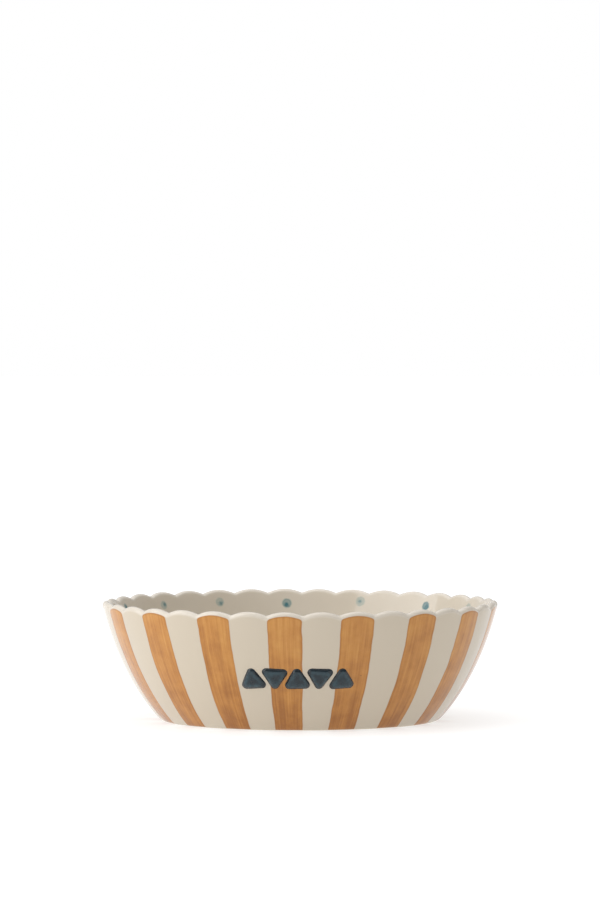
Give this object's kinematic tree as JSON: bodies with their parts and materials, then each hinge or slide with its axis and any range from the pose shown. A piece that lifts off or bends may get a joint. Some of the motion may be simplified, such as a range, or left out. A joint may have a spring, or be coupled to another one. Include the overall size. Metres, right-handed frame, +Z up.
{
  "type": "chip bowl",
  "caption": "Round stoneware serving bowl with a scalloped lip, outward-curving wall, flat floor, foot ring and a row of raised motifs across the front.",
  "frame": {"origin": "centre of the plane that the foot ring rests on", "axes": "+Z up, out of the bowl's mouth; -Y is the front, where the row of raised motifs is; +X is to the right as seen from the front"},
  "size_m": [0.1998, 0.1994, 0.0602],
  "materials": {
    "cream_glaze": "glossy cream glaze over cream stoneware, with painted ochre stripes outside and blue-green dots inside, and a bare clay foot ring",
    "dark_teal_glaze": "glossy dark teal glaze over raised clay"
  },
  "bodies": {
    "root": {"bowl_body": "cream_glaze", "chip_motif_1": "dark_teal_glaze", "chip_motif_2": "dark_teal_glaze", "chip_motif_3": "dark_teal_glaze", "chip_motif_4": "dark_teal_glaze", "chip_motif_5": "dark_teal_glaze"}
  },
  "joints": []
}
